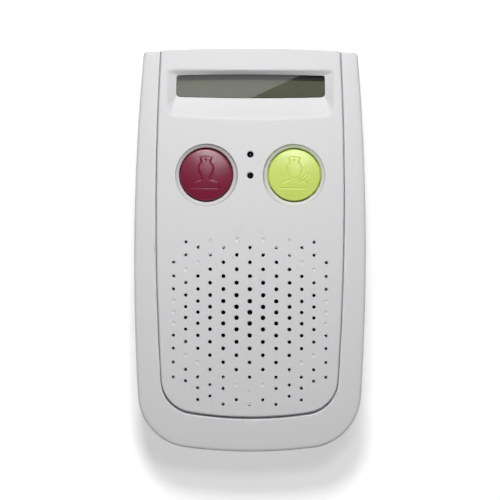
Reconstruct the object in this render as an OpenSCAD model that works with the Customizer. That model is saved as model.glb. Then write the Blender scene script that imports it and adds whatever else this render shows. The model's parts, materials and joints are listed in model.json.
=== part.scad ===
// Wall-mounted nurse call and speech unit.
// Drawn with X across, Y up the wall and Z out from the wall, then stood up so that the wall is the
// plane Y = 0, the front faces -Y and +Z is up. The origin is the middle of the face on the wall.

/* [Case] */
// Width of the case at its widest
case_w = 95.1; // [90:0.1:102]
// Height of the case at its middle
case_h = 165.6; // [156:0.1:180]
// Depth of the case from the wall to the crown of the band
case_d = 30.4; // [29:0.1:34]
// Thickness of the case walls
case_wall = 2.2; // [1.6:0.1:2.8]
// How far the widest place lies below the middle
waist_drop = 2; // [0:0.5:8]
// Radius of the long bow of each side
side_bow_r = 955; // [700:5:1400]
// Radius of the bow along the bottom
bottom_bow_r = 205; // [170:5:260]
// Radius of the two bottom corners
case_corner_r = 22.5; // [18:0.5:28]
// Radius of the bow along the top
top_bow_r = 790; // [600:10:1200]
// Radius of the two top corners
top_corner_r = 1.5; // [1:0.1:3]
// Radius of the crown across the face
crown_across_r = 640; // [520:10:900]
// Radius of the crown along the face
crown_along_r = 1300; // [1000:10:2000]
// Rounding of the case's front edge
case_edge_r = 1.2; // [0.6:0.1:1.8]
// How much wider the case is at the wall, each side
case_draft = 0.3; // [0:0.1:0.8]
// Shadow gap between the case and the wall
wall_gap = 0.4; // [0.3:0.1:1]
// Width of the ledge that carries the fascia
ledge_w = 3.4; // [3:0.1:4]
// Thickness of the ledge
ledge_t = 2; // [1.6:0.1:2.4]
// Depth of the ledge below the crown of the band
ledge_sink = 6.4; // [6:0.1:7]

/* [Fascia] */
// Width of the fascia at its widest
fascia_w = 77; // [75:0.1:80]
// How far its widest place lies above the middle
fascia_rise_y = 18.5; // [10:0.5:25]
// Radius of the long bow of each side
fascia_side_r = 1144; // [900:4:1500]
// Radius of its bottom corners
fascia_corner_r = 14; // [12:0.5:17]
// Radius of the bow along its bottom
fascia_bottom_r = 156; // [130:2:200]
// Height of the band below the fascia
band_foot = 14.3; // [12:0.1:15]
// How far the fascia stands above the top of the band
fascia_top_lap = 0.4; // [0.3:0.1:0.8]
// How far the fascia stands proud of the band
fascia_proud = 0.6; // [0.3:0.1:1]
// Thickness of the fascia
fascia_t = 2.2; // [1.8:0.1:2.6]
// Thickness of the skirt round the fascia
skirt_t = 2; // [1.6:0.1:2.2]
// Rounding of the fascia's edge
fascia_edge_r = 0.7; // [0.4:0.1:1]
// Gap between the fascia and the sides of the band
groove_w = 0.4; // [0.3:0.05:0.6]
// Gap between the fascia and the foot of the band
foot_groove_w = 0.7; // [0.3:0.05:0.9]
// Height where the fascia begins to fall away from the band's crown, as a share of the case's height
fall_y_share = -0.06; // [-0.1:0.005:-0.03]
// Radius of the crown along the part that falls away
fall_r = 770; // [720:10:1100]

/* [Display] */
// Width of the window
window_w = 60.8; // [56:0.2:62]
// Distance of the window's top edge below the top of the fascia
window_drop = 10.7; // [9.6:0.1:12]
// Height of the window
window_h = 9.8; // [8.6:0.1:10.6]
// Bow of the window's top and bottom edges
window_bow = 0.45; // [0.3:0.05:0.7]
// Rounding of the window's corners
window_corner_r = 1; // [0.8:0.1:1.4]
// Depth of the window below the crown of the face above it
window_sink = 2.5; // [2:0.1:2.8]
// Width of the steep walls above and beside the window, at the face
scoop_side_w = 1.9; // [1.2:0.1:2.2]
// Run of the shallow ramp below the window, at its middle
scoop_ramp = 8.8; // [7:0.2:10]
// Thickness of the floor round the window
sill_t = 1; // [0.8:0.1:1.2]
// Thickness of the lens flange
lens_t = 1.3; // [1:0.1:1.5]
// Lap of the lens behind the window's edge
lens_lap = 1.4; // [1:0.1:1.8]
// Thickness of the display glass
glass_t = 2.2; // [1.8:0.1:2.4]

/* [Buttons] */
// Distance of each button from the middle line
button_x = 18.1; // [17.5:0.1:19]
// Height of the buttons above the middle, as a share of the case's height
button_y_share = 0.1844; // [0.175:0.001:0.195]
// Diameter of the caps
cap_d = 21.4; // [20:0.1:22]
// Gap round each cap
cap_gap = 0.4; // [0.3:0.05:0.5]
// Width of the gently sloping ring round each cap
well_ring = 0.9; // [0.6:0.1:1.1]
// Slope of that ring
well_slope_share = 0.4; // [0.2:0.05:0.5]
// Width of the steep edge round the ring
well_edge = 0.8; // [0.6:0.1:0.8]
// Depth of the ring at the cap
well_sink = 1.7; // [1.2:0.1:1.8]
// Travel of the caps
press_travel = 1; // [0.6:0.1:1.2]
// Wall of the caps
cap_wall = 1.6; // [1.2:0.1:2]
// Radius of the dome on the caps
cap_dome_r = 90; // [70:5:150]
// Rounding of the caps' edge
cap_edge_r = 0.6; // [0.3:0.1:0.9]
// Width of the engraved lines
mark_line = 0.45; // [0.35:0.05:0.6]
// Depth of the engraved lines
mark_sink = 0.3; // [0.2:0.05:0.5]

/* [Ports] */
// Diameter of the two small ports
port_d = 2.6; // [1.8:0.1:2.8]
// Distance between the upper port, over the infrared receiver, and the lower one
port_pitch = 8.65; // [8:0.05:10]

/* [Grille] */
// Depth of the grille's centre below the middle, as a share of the case's height
grille_y_share = 0.1545; // [0.15:0.0005:0.16]
// Pitch of the five inner columns
column_pitch = 5.43; // [5.2:0.01:5.6]
// Pitch of the three outer columns
outer_pitch = 5; // [4.8:0.05:5.2]
// Step between rows at the centre, as a share of the case's height
row_step_share = 0.01322; // [0.0128:0.00001:0.0137]
// Widening of the rows, per step squared, as a share of the case's height
row_spread_share = 0.000284; // [0.00018:0.000001:0.0003]
// Diameter of the middle holes
grille_hole_d = 2.1; // [1.8:0.05:2.2]
// Diameter of the outermost holes
grille_least_d = 1.15; // [0.8:0.05:1.3]
// Depth of the blind dimples
dimple_depth = 0.4; // [0.3:0.05:0.6]

/* [Loudspeaker] */
// Diameter of the loudspeaker
speaker_d = 57.4; // [56:0.2:58]
// Gap between the loudspeaker and its collar
speaker_gap = 0.5; // [0.3:0.05:0.8]
// Thickness of the collar round the loudspeaker
collar_t = 3; // [2.6:0.1:3.2]
// Thickness of the grille cloth
cloth_t = 0.3; // [0.2:0.05:0.5]
// Thickness of the foam gasket
gasket_t = 0.8; // [0.5:0.1:1.2]
// Thickness of the pressed steel basket
basket_t = 0.8; // [0.6:0.1:1]
// Diameter of the magnet
magnet_d = 32; // [28:1:36]
// Height of the magnet with its two plates
magnet_h = 8; // [7:0.2:8.4]
// Excursion of the cone each way
cone_travel = 0.6; // [0.3:0.1:0.8]

/* [Circuit board] */
// Width of the board
board_w = 59; // [56:0.5:60]
// Gap between the board's lower edge and the top of the loudspeaker
board_foot_gap = 2.7; // [2:0.1:4]
// Gap between the board's upper edge and the top of the fascia
board_head_gap = 6.2; // [5:0.1:7]
// Thickness of the board
board_t = 1.6; // [1:0.1:1.8]
// Depth of the board's front face below the crown of the band
board_sink = 11.4; // [11.2:0.1:11.8]
// Distance of its fixing posts from the middle line
post_x = 26; // [25:0.25:26.5]
// Diameter of the fixing posts
post_d = 6; // [5.2:0.1:6.4]

/* [Wall plate] */
// Thickness of the plate
plate_t = 2.5; // [2:0.1:3]
// Gap between the plate and the case
plate_gap = 0.5; // [0.3:0.1:0.8]
// Distance between the two fixings of a single wall box
fixing_pitch = 60.3; // [58:0.1:62]
// Diameter of the fixing holes
fixing_d = 4.4; // [3.6:0.1:5]
// Width of the cable entry
entry_w = 34; // [28:1:40]
// Height of the cable entry
entry_h = 26; // [22:1:28]
// Height of the rim that stiffens the plate
plate_rim_h = 4; // [3:0.5:6]

/* [Fasteners] */
// Outside diameter of the case and board screws
screw_d = 3; // [2.5:0.1:3.2]
// Head diameter of those screws
screw_head_d = 5.4; // [4.8:0.1:5.6]
// Head height of those screws
screw_head_h = 1.8; // [1.4:0.1:2]
// Outside diameter of the loudspeaker's clip screws
clip_screw_d = 2; // [1.8:0.1:2.2]

/* [Hidden] */
$fn = 96;

// Colours
pale_grey = "#E6E6E7";
burgundy = "#84243F";
lime = "#CFE070";
green_board = "#2E6B3E";
black_part = "#1E1E20";
steel = "#B9BCC0";
brass = "#C9A24B";

// One overrun for every cut, one running gap inside, one gap between parts that move apart
over = 1;
seat_gap = 0.3;
least_r = 0.05;

// Heights above the middle of the face and above the wall, from the sizes that set them
window_top = case_h / 2 - window_drop;
window_low = window_top - window_h;
button_y = case_h * button_y_share;
lower_port_y = button_y;
upper_port_y = lower_port_y + port_pitch;
grille_y = -case_h * grille_y_share;
board_low = grille_y + speaker_d / 2 + board_foot_gap;
board_high = case_h / 2 - board_head_gap;
ledge_top = case_d - ledge_sink;
board_top = case_d - board_sink;
board_back = board_top - board_t;

// How finely the outlines and edges are stepped
side_steps = 10;
bow_steps = 6;
corner_steps = 8;
tip_steps = 2;
edge_steps = 4;
edge_turn = 82;

// An outline is [half width, height of its widest place, side radius, bottom, bottom radius,
// bottom corner radius, top, top radius, top corner radius], with its corners worked out from these
case_shape = [case_w / 2, -waist_drop, side_bow_r, -case_h / 2, bottom_bow_r, case_corner_r,
              case_h / 2 - fascia_top_lap, top_bow_r, top_corner_r];
fascia_shape = [fascia_w / 2, fascia_rise_y, fascia_side_r, -case_h / 2 + band_foot, fascia_bottom_r,
                fascia_corner_r, case_h / 2, top_bow_r, top_corner_r];

function inset(s, d) = [s[0] - d, s[1], s[2] - d, s[3] + d, s[4] - d, max(s[5] - d, least_r),
                        s[6] - d, s[7] - d, max(s[8] - d, least_r)];
function lowered(s, d) = [for (i = [0:len(s) - 1]) s[i] - (i == 3 ? d : 0)];
function side_centre(s) = [s[0] - s[2], s[1]];
function low_centre(s) = [0, s[3] + s[4]];
function high_centre(s) = [0, s[6] - s[7]];

// Where a corner circle touches two bows from inside: p and q are the bows' centres, a and b their
// radii less the corner's own, and turn says on which side of the line p q it lies
function corner_centre(p, a, q, b, turn) =
    let (pq = q - p, far = norm(pq), u = pq / far, along = (a * a - b * b + far * far) / (2 * far))
    p + along * u + turn * sqrt(a * a - along * along) * [-u[1], u[0]];
function low_corner(s) = corner_centre(side_centre(s), s[2] - s[5], low_centre(s), s[4] - s[5], -1);
function high_corner(s) = corner_centre(side_centre(s), s[2] - s[8], high_centre(s), s[7] - s[8], 1);
function bearing(from, to) = atan2(to[1] - from[1], to[0] - from[0]);

// Points of an arc without its last
function arc(c, r, from, to, steps) =
    [for (i = [0:steps - 1]) let (t = from + (to - from) * i / steps) c + r * [cos(t), sin(t)]];
function right_half(s) =
    let (hc = high_corner(s), lc = low_corner(s),
         ht = bearing(high_centre(s), hc), hs = bearing(side_centre(s), hc),
         ls = bearing(side_centre(s), lc), lt = bearing(low_centre(s), lc))
    concat(arc(high_centre(s), s[7], 90, ht, bow_steps), arc(hc, s[8], ht, hs, tip_steps),
           arc(side_centre(s), s[2], hs, ls, side_steps), arc(lc, s[5], ls, lt, corner_steps),
           arc(low_centre(s), s[4], lt, -90, bow_steps), [[0, s[3]]]);
function outline(s) =
    let (r = right_half(s), n = len(r))
    concat(r, [for (i = [n - 2:-1:1]) [-r[i][0], r[i][1]]]);
// Half width of an outline on its side bow at height y
function half_at(s, y) = s[0] - s[2] + sqrt(s[2] * s[2] - (y - s[1]) * (y - s[1]));

// The crown turns about a long axis behind the wall, and this is its radius at height y. The foot of
// the fascia falls away from it on a tighter bow, which meets it at fall_y.
fall_y = case_h * fall_y_share;
function bow_at(along, y) = sqrt(along * along - y * y) - along;
fall_step = bow_at(crown_along_r, fall_y) - bow_at(fall_r, fall_y);
function turn_at(y, falls) = crown_across_r + bow_at(crown_along_r, y)
    + (falls && y < fall_y ? bow_at(fall_r, y) + fall_step - bow_at(crown_along_r, y) : 0);
function crown_at(x, y, falls = false) = case_d - crown_across_r + sqrt(pow(turn_at(y, falls), 2) - x * x);
function face_at(x, y) = crown_at(x, y, true) + fascia_proud;
function under_at(x, y) = face_at(x, y) - fascia_t;

// Lofts: rings of 3-D points, all with the same count, the first one lowest
function level(points, z) = [for (p = points) [p[0], p[1], z]];
function edge_ring(s, r, turn, lift, falls) =
    [for (p = outline(inset(s, r * (1 - cos(turn)))))
        [p[0], p[1], crown_at(p[0], p[1], falls) + lift - r + r * sin(turn)]];
module loft(rings) {
    n = len(rings[0]);
    m = len(rings);
    points = [for (ring = rings) each ring];
    sides = [for (k = [0:m - 2], i = [0:n - 1])
        let (a = k * n + i, b = k * n + (i + 1) % n, c = a + n, d = b + n) each [[a, b, d], [a, d, c]]];
    polyhedron(points, concat([[for (i = [n - 1:-1:0]) i]], [for (f = sides) [f[2], f[1], f[0]]],
                              [[for (i = [0:n - 1]) (m - 1) * n + i]]), convexity = 4);
}

// Solid of an outline, straight out from the wall
module column(s, low, high) translate([0, 0, low]) linear_extrude(high - low) polygon(outline(s));

// Thick barrel-shaped slab whose front is the crown of the band, lifted
crown_fan = 2 * asin(case_w / crown_across_r);
module crown_slab(lift, falls = false) {
    slab = case_d * 2;
    translate([0, 0, case_d + lift - crown_across_r]) rotate([90, 0, 0])
        rotate_extrude(start = 90 - crown_fan / 2, angle = crown_fan, $fn = 360)
            intersection() {
                translate([crown_across_r - crown_along_r, 0]) circle(crown_along_r);
                if (falls) translate([crown_across_r - fall_r + fall_step, 0]) union() {
                    circle(fall_r);
                    translate([0, -fall_y - case_h * 6]) square(case_h * 6);
                }
                translate([crown_across_r - slab, -case_h]) square([slab + over, case_h * 2]);
            }
}

// Skin of a moulding: straight or drafted wall, rounded edge that follows the crown, crowned front
module crowned_skin(s, low, draft, r, lift, falls = false) {
    turns = [for (k = [0:edge_steps]) edge_turn * k / edge_steps];
    last = outline(inset(s, r * (1 - cos(edge_turn))));
    intersection() {
        loft(concat([level(outline(inset(s, -draft)), low)],
                    [for (t = turns) edge_ring(s, r, t, lift, falls)],
                    [level(last, case_d + lift + over)]));
        crown_slab(lift, falls);
    }
}

module at_each(places) for (p = places) translate([p[0], p[1], 0]) children();
module rod(r, low, high) translate([0, 0, low]) cylinder(r = r, h = high - low);
module tube(r_out, r_in, low, high) difference() {
    rod(r_out, low, high);
    rod(r_in, low - over, high + over);
}
module block(w, h, low, high) translate([-w / 2, -h / 2, low]) cube([w, h, high - low]);

// Collar of the loudspeaker and the clips that hold it
collar_in = speaker_d / 2 + speaker_gap;
collar_out = collar_in + collar_t;
clip_out = 3.5;
clip_r = collar_out + clip_out;
clip_w = 4;
clip_turn = 29.5;
clip_angles = [90, 180 + clip_turn, 360 - clip_turn];

// Fascia screws: two rows of three, in lugs of the ledge, the lowest pair clear of the clips
lug_y_shares = [0.28, 0.012];
lug_in = 4.6;
lug_r = 3.4;
lug_gap = 0.6;
clip_foot = sin(clip_turn) * (clip_r + clip_w / 2) + cos(clip_turn) * clip_w / 2;
lug_ys = concat(case_h * lug_y_shares, [grille_y - clip_foot - lug_r - lug_gap]);
lug_places = [for (y = lug_ys, side = [-1, 1]) [side * (half_at(fascia_shape, y) - lug_in), y]];
screw_play = 0.4;
thread_bite = 0.5;
screw_hole_d = screw_d + screw_play;
pilot_d = screw_d - thread_bite;
thread_len = 5.5;

// Band: the U-shaped channel of the case and the ledge inside it
module housing() color(pale_grey) {
    ledge_low = ledge_top - ledge_t;
    seat = lowered(inset(fascia_shape, -groove_w), foot_groove_w - groove_w);
    hook_rib_w = plate_hook_w * 1.5;
    hook_rib_low = plate_t + seat_gap;
    hook_rib_high = hook_low - seat_gap;
    inner_top = case_shape[6] - case_wall;
    difference() {
        union() {
            difference() {
                crowned_skin(case_shape, wall_gap, case_draft, case_edge_r, 0);
                // Hollow of the case, leaving the inner wall of the channel
                difference() {
                    intersection() {
                        column(inset(case_shape, case_wall), -over, case_d + over);
                        crown_slab(-case_wall);
                    }
                    column(inset(seat, -channel_t), ledge_low, case_d + 2 * over);
                }
                column(inset(fascia_shape, ledge_w), -over, case_d + 2 * over);
            }
            // Lugs for the fascia screws
            intersection() {
                at_each(lug_places) rod(lug_r, ledge_low, ledge_top);
                column(fascia_shape, ledge_low, ledge_top);
            }
            // Ribs that hang on the hooks of the wall plate
            for (side = [-1, 1]) translate([side * plate_hook_x, inner_top - hook_rib_depth / 2, 0])
                block(hook_rib_w, hook_rib_depth + 2 * least_r, hook_rib_low, hook_rib_high);
        }
        // Seat of the fascia, open at the top edge
        column(seat, ledge_top, case_d + 2 * over);
        at_each(lug_places) rod(screw_hole_d / 2, ledge_low - over, ledge_top + over);
        // Hole and countersink of the security screw, up through the bottom wall
        translate([0, case_shape[3] - over, foot_screw_z]) rotate([-90, 0, 0]) {
            cylinder(d = screw_hole_d, h = case_wall + 2 * over);
            cylinder(d = screw_head_d + 2 * seat_gap, h = over + foot_head_sink);
        }
    }
}
channel_t = 1.8;
hook_rib_depth = 2.2;
foot_head_sink = 1.1;

// Window and scoop: the window's outline and the outer outline where the scoop's walls would reach
// the height of the crown
window_half = window_w / 2;
window_bow_r = window_half * window_half / (2 * window_bow);
window_side_r = window_w * 8;
window_shape = [window_half, window_low, window_side_r, window_low, window_bow_r, window_corner_r,
                window_top, window_bow_r, window_corner_r];
sill_z = face_at(0, window_top) - window_sink;
scoop_top_z = case_d + fascia_proud + over;
scoop_rise = scoop_top_z - sill_z;
ramp_rise = face_at(0, window_low - scoop_ramp) - sill_z;
scoop_side = scoop_side_w * scoop_rise / window_sink;
scoop_reach = scoop_ramp * scoop_rise / ramp_rise;
scoop_shape = [window_half + scoop_side, window_low - scoop_reach / 2, window_side_r,
               window_low - scoop_reach, window_bow_r, window_corner_r + scoop_side,
               window_top + scoop_side, window_bow_r, window_corner_r];
module scoop(grow, drop) loft([level(outline(inset(window_shape, -grow)), sill_z - drop),
                               level(outline(inset(scoop_shape, -grow)), scoop_top_z - drop)]);

// Buttons
well_r = cap_d / 2 + cap_gap;
step_r = well_r + well_ring;
ring_r = step_r + well_edge;
button_face = face_at(button_x, button_y);
well_z = button_face - well_sink;
step_z = well_z + well_ring * well_slope_share;
guide_t = 1.4;
guide_drop = 2.2;
guide_low = under_at(button_x, button_y) - guide_drop;
flange_t = 1.2;
flange_w = 1.5;
button_places = [[-button_x, button_y], [button_x, button_y]];
module button_guide() rod(well_r + guide_t, guide_low, button_face);
module button_well() {
    rise = button_face - step_z;
    rotate_extrude() polygon([[0, guide_low - over], [well_r, guide_low - over], [well_r, well_z],
        [step_r, step_z], [step_r + 2 * well_edge, step_z + 2 * rise], [0, step_z + 2 * rise]]);
}

// Grille: columns from the middle outward, rows numbered in half steps, odd in every other column, and
// the lowest rows drawn in to follow the fascia's foot. The loudspeaker's collar stands behind some of
// the places, and those are blind dimples.
grille_columns = [0, 1, 2, 3, 4, 5, 6];
row_shares = [concat([for (r = [-10:2:10]) r], [11.8, 13.4]), concat([for (r = [-11:2:11]) r], [12.85]),
              concat([for (r = [-10:2:10]) r], [11.45, 13.4]), concat([for (r = [-11:2:11]) r], [12.4]),
              concat([for (r = [-10:2:10]) r], [11.4, 12.85]),
              concat([-10.7], [for (r = [-9:2:9]) r], [10.5]), [for (r = [-8:2:10]) r]];
function column_x(c) = c < 4 ? c * column_pitch : 3 * column_pitch + (c - 3) * outer_pitch;
function row_y(r) = grille_y - sign(r) * case_h * (row_step_share * abs(r) + row_spread_share * r * r);
grille_far = norm([column_x(5), row_y(9) - grille_y]);
function grille_r(d) =
    (grille_least_d + (grille_hole_d - grille_least_d) * pow(max(0, 1 - d / grille_far), 1.3)) / 2;
grille_places = [for (c = grille_columns, r = row_shares[c], side = c == 0 ? [1] : [-1, 1])
    [side * column_x(c), row_y(r), norm([column_x(c), row_y(r) - grille_y])]];
function blind(p) = p[2] > collar_in && p[2] < collar_out;
module grille_holes() for (p = grille_places) {
    r = grille_r(p[2]);
    if (blind(p)) translate([p[0], p[1], face_at(p[0], p[1]) - dimple_depth])
        cylinder(r1 = r * 0.4, r2 = r * 1.4, h = dimple_depth + over, $fn = 24);
    else translate([p[0], p[1], case_d - fascia_t * 3]) cylinder(r = r, h = fascia_t * 4, $fn = 24);
}

// Posts under the fascia: one pair by the board's foot, one between the buttons and the display
display_y = (window_top + window_low) / 2;
bezel_lap = 4.5;
bezel_h = window_h + 2 * bezel_lap;
post_inset = 4;
post_ys = [board_low + post_inset, (button_y + ring_r + display_y - bezel_h / 2) / 2];
post_places = [for (y = post_ys, side = [-1, 1]) [side * post_x, y]];
clip_post_r = 2.1;
seat_rib = 0.3;
clip_bite = 0.2;
clip_places = [for (t = clip_angles) clip_r * [cos(t), sin(t)] + [0, grille_y]];
speaker_seat = under_at(0, grille_y - collar_in) - seat_rib;
clip_seat = speaker_seat - cloth_t - gasket_t - basket_t;

module fascia() color(pale_grey) difference() {
    union() {
        difference() {
            crowned_skin(fascia_shape, ledge_top, 0, fascia_edge_r, fascia_proud, true);
            intersection() {
                column(inset(fascia_shape, skirt_t), ledge_top - over, case_d);
                crown_slab(fascia_proud - fascia_t, true);
            }
        }
        intersection() {
            crown_slab(fascia_proud - fascia_t / 2, true);
            union() {
                intersection() {
                    at_each(lug_places) rod(lug_r, ledge_top, case_d);
                    column(inset(fascia_shape, skirt_t / 2), ledge_top, case_d);
                }
                at_each(post_places) rod(post_d / 2, board_top, case_d);
                at_each(button_places) button_guide();
                translate([0, grille_y, 0]) tube(collar_out, collar_in, clip_seat, case_d);
                translate([0, grille_y, 0])
                    tube(collar_in + least_r, speaker_d / 2 - cone_rim_w, speaker_seat, case_d);
                at_each(clip_places) rod(clip_post_r, clip_seat, case_d);
                column(inset(window_shape, -lens_lap - lens_wall), lens_back, case_d);
                scoop(sill_t * 1.5, sill_t);
            }
        }
    }
    scoop(0, 0);
    column(window_shape, lens_back - over, case_d);
    column(inset(window_shape, -lens_lap - lens_play), lens_back - over, sill_z - sill_t);
    at_each(button_places) button_well();
    for (y = [upper_port_y, lower_port_y]) translate([0, y, 0]) {
        rod(port_d / 2, case_d - fascia_t * 3, case_d + over);
        translate([0, 0, face_at(0, y) - port_dish])
            cylinder(r1 = port_d / 2, r2 = port_d / 2 + 2 * port_dish, h = 2 * port_dish);
    }
    grille_holes();
    at_each(lug_places) rod(pilot_d / 2, ledge_top - over, ledge_top + thread_len - over);
    at_each(post_places) rod(pilot_d / 2, board_top - over, board_top + thread_len);
    at_each(clip_places) rod(clip_screw_d / 2 - clip_bite, clip_seat - over, clip_seat + clip_thread);
}
port_dish = 0.3;
cone_rim_w = 3.2;
lens_wall = 1.2;
lens_play = 0.1;
lens_back = sill_z - sill_t - lens_t;

// Lens: a flange behind the sill and a pad that fills the window
module display_lens() color("#9FA39B", 0.5) {
    column(inset(window_shape, -lens_lap), lens_back, lens_back + lens_t);
    column(inset(window_shape, lens_play), lens_back + lens_t - least_r, sill_z - lens_play);
}

// Display module: glass in a bezel, on a backlight, on the board
bezel_side = 2.5;
bezel_w = window_w + 2 * bezel_side;
bezel_wall = 1.2;
bezel_lip = 0.5;
bezel_top = lens_back - lens_play;
glass_top = bezel_top - bezel_lip;
glass_low = glass_top - glass_t;
module display_block(trim, low, high) translate([0, display_y, 0])
    block(bezel_w - 2 * trim, bezel_h - 2 * trim, low, high);
module lcd_bezel() color(black_part) difference() {
    display_block(0, board_top, bezel_top);
    display_block(bezel_wall, board_top - over, glass_top);
    display_block(bezel_wall * 2, board_top, bezel_top + over);
}
module lcd_glass() color("#7D8072") display_block(bezel_wall + lens_play, glass_low, glass_top);
module backlight() color("#F4F4EE") display_block(bezel_wall + lens_play, board_top, glass_low);

// Circuit board, hung on the four posts of the fascia
module main_board() color(green_board) difference() {
    translate([0, (board_low + board_high) / 2, 0])
        block(board_w, board_high - board_low, board_back, board_top);
    at_each(post_places) rod(screw_hole_d / 2, board_back - over, board_top + over);
}
module pan_screw(core_d, head_d, head_h, length) {
    rod(core_d / 2, -least_r, length);
    rod(head_d / 2, -head_h, 0);
}
core_play = 0.1;
module case_screw(length) pan_screw(pilot_d - core_play, screw_head_d, screw_head_h, length);
module board_screws() color(steel) at_each(post_places)
    translate([0, 0, board_back]) case_screw(board_t + thread_len - seat_gap);
module fascia_screws() color(steel) at_each(lug_places)
    translate([0, 0, ledge_top - ledge_t]) case_screw(ledge_t + thread_len - over - seat_gap);

// Parts on the back of the board
chip_t = 1.4;
processor_w = 12;
amplifier_w = 7;
capacitor_d = 8;
capacitor_h = 9;
module processor_chip() color(black_part) translate([-board_w / 4, board_high - processor_w, 0])
    block(processor_w, processor_w, board_back - chip_t, board_back);
module amplifier_chip() color(black_part) translate([board_w / 4, board_low + 2 * amplifier_w, 0])
    block(amplifier_w, amplifier_w, board_back - chip_t, board_back);
module capacitors() color("#3A3F4A") for (k = [0, 1])
    translate([board_w / 4, board_high - capacitor_d * (1 + k * 1.4), 0])
        rod(capacitor_d / 2, board_back - capacitor_h, board_back);

// Plug-together link between the board and the wall plate
link_y = (board_low + board_high) / 2;
link_w = 26;
link_h = 6;
link_wall = 1.6;
link_share = 0.6;
link_top = plate_t + (board_back - plate_t) * link_share;
link_depth = 4.5;
module link_socket() color(black_part) translate([0, link_y, 0]) difference() {
    block(link_w, link_h, plate_t, link_top - seat_gap);
    block(link_w - 2 * link_wall, link_h - 2 * link_wall, link_top - link_depth - over, link_top + over);
}
module link_header() color(black_part) translate([0, link_y, 0]) {
    block(link_w, link_h, link_top, board_back);
    block(link_w - 2 * link_wall - 2 * seat_gap, link_h - 2 * link_wall - 2 * seat_gap,
          link_top - link_depth, link_top + least_r);
}

// Wall plate
plate_shape = inset(case_shape, case_wall + plate_gap);
plate_rim_t = 1.6;
plate_hook_x = 20;
plate_hook_w = 8;
hook_gap = 3.2;
hook_t = 2.2;
hook_low = plate_t + hook_gap;
hook_high = hook_low + hook_t;
hook_nose = 2;
hook_root_t = 3;
foot_screw_z = 9;
boss_w = 9;
boss_l = 8;
boss_top = 4;
boss_h = foot_screw_z + boss_top;
insert_d = 4.3;
slot_y_share = 0.36;
slot_y = case_h * slot_y_share;
slot_l = 9;
entry_lip = 1.4;
entry_lip_h = 2;
module wall_plate() color(pale_grey) {
    plate_top = plate_shape[6];
    boss_low = plate_shape[3];
    difference() {
        union() {
            column(plate_shape, 0, plate_t);
            difference() {
                column(inset(plate_shape, hook_nose), 0, plate_rim_h + plate_t);
                column(inset(plate_shape, hook_nose + plate_rim_t), plate_t, plate_rim_h + plate_t + over);
                translate([0, plate_top, 0]) block(case_w, hook_root_t * 4, plate_t, case_d);
            }
            block(entry_w + 2 * entry_lip, entry_h + 2 * entry_lip, 0, plate_t + entry_lip_h);
            translate([0, boss_low + boss_l / 2, 0]) block(boss_w, boss_l, 0, boss_h);
            // Hooks that carry the case
            for (side = [-1, 1])
                translate([side * plate_hook_x, plate_top - hook_nose - hook_root_t / 2, 0]) {
                    block(plate_hook_w, hook_root_t, 0, hook_high);
                    translate([0, hook_nose / 2, 0])
                        block(plate_hook_w, hook_root_t + hook_nose, hook_low, hook_high);
                }
        }
        block(entry_w, entry_h, -over, case_d);
        for (side = [-1, 1]) translate([side * fixing_pitch / 2, 0, 0])
            rod(fixing_d / 2, -over, plate_t + over);
        // Upright slots for a solid wall
        for (side = [-1, 1]) translate([0, side * slot_y, 0]) {
            block(fixing_d, slot_l - fixing_d, -over, plate_t + over);
            for (tip = [-1, 1]) translate([0, tip * (slot_l - fixing_d) / 2, 0])
                rod(fixing_d / 2, -over, plate_t + over);
        }
        translate([0, boss_low - over, foot_screw_z]) rotate([-90, 0, 0])
            cylinder(d = insert_d, h = boss_l + 2 * over);
    }
}
insert_l = 6;
module thread_insert() color(brass) translate([0, plate_shape[3], foot_screw_z]) rotate([-90, 0, 0])
    tube(insert_d / 2, screw_d / 2, 0, insert_l);
module security_screw() color(steel)
    translate([0, case_shape[3] + foot_head_sink, foot_screw_z]) rotate([-90, 0, 0])
        pan_screw(screw_d - core_play, screw_head_d, foot_head_sink,
                  case_wall + plate_gap + insert_l - foot_head_sink);

// Terminal block for the building's cable
terminal_w = 30;
terminal_h = 10;
terminal_z_share = 0.67;
terminal_z = (board_back - plate_t) * terminal_z_share;
terminal_count = 6;
terminal_gap = 1;
terminal_y = entry_h / 2 + entry_lip + terminal_h / 2 + terminal_gap;
terminal_screw_d = 3;
terminal_slot_low = 2;
terminal_xs = [for (k = [0:terminal_count - 1]) (k + 0.5 - terminal_count / 2) * terminal_w / terminal_count];
module terminal_block() color("#3F6F4B") difference() {
    translate([0, terminal_y, 0]) block(terminal_w, terminal_h, plate_t, plate_t + terminal_z);
    for (x = terminal_xs) translate([x, terminal_y, 0]) {
        rod(terminal_screw_d / 2 + least_r, plate_t + terminal_z / 2, plate_t + terminal_z + over);
        translate([0, -terminal_h / 2, 0])
            block(terminal_screw_d, terminal_h, plate_t + terminal_slot_low, plate_t + terminal_z / 2);
    }
}
module terminal_screws() color(steel) for (x = terminal_xs) translate([x, terminal_y, 0])
    rod(terminal_screw_d / 2, plate_t + terminal_z / 2, plate_t + terminal_z - terminal_gap);

// Round caps with an engraved figure
cap_r = cap_d / 2;
flange_top = guide_low - seat_gap;
flange_low = flange_top - flange_t;
cap_roof = 2;
stem_d = 4.4;
switch_w = 6;
switch_h = 3.5;
plunger_d = 3.5;
plunger_play = 0.08;
plunger_clear = 0.2;
plunger_root = 2;
plunger_top = board_top + switch_h + press_travel + plunger_clear;
dome_z = button_face - cap_dome_r;
edge_z = dome_z + sqrt(cap_dome_r * cap_dome_r - (cap_r - cap_edge_r) * (cap_r - cap_edge_r));
cap_profile = concat([[0, flange_low], [cap_r, flange_low]],
    [for (t = [0:22.5:90])
        [cap_r - cap_edge_r + cap_edge_r * cos(t), edge_z - cap_edge_r + cap_edge_r * sin(t)]],
    [for (k = [5:-1:0]) let (x = (cap_r - cap_edge_r) * k / 6)
        [x, dome_z + sqrt(cap_dome_r * cap_dome_r - x * x)]]);

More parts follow.
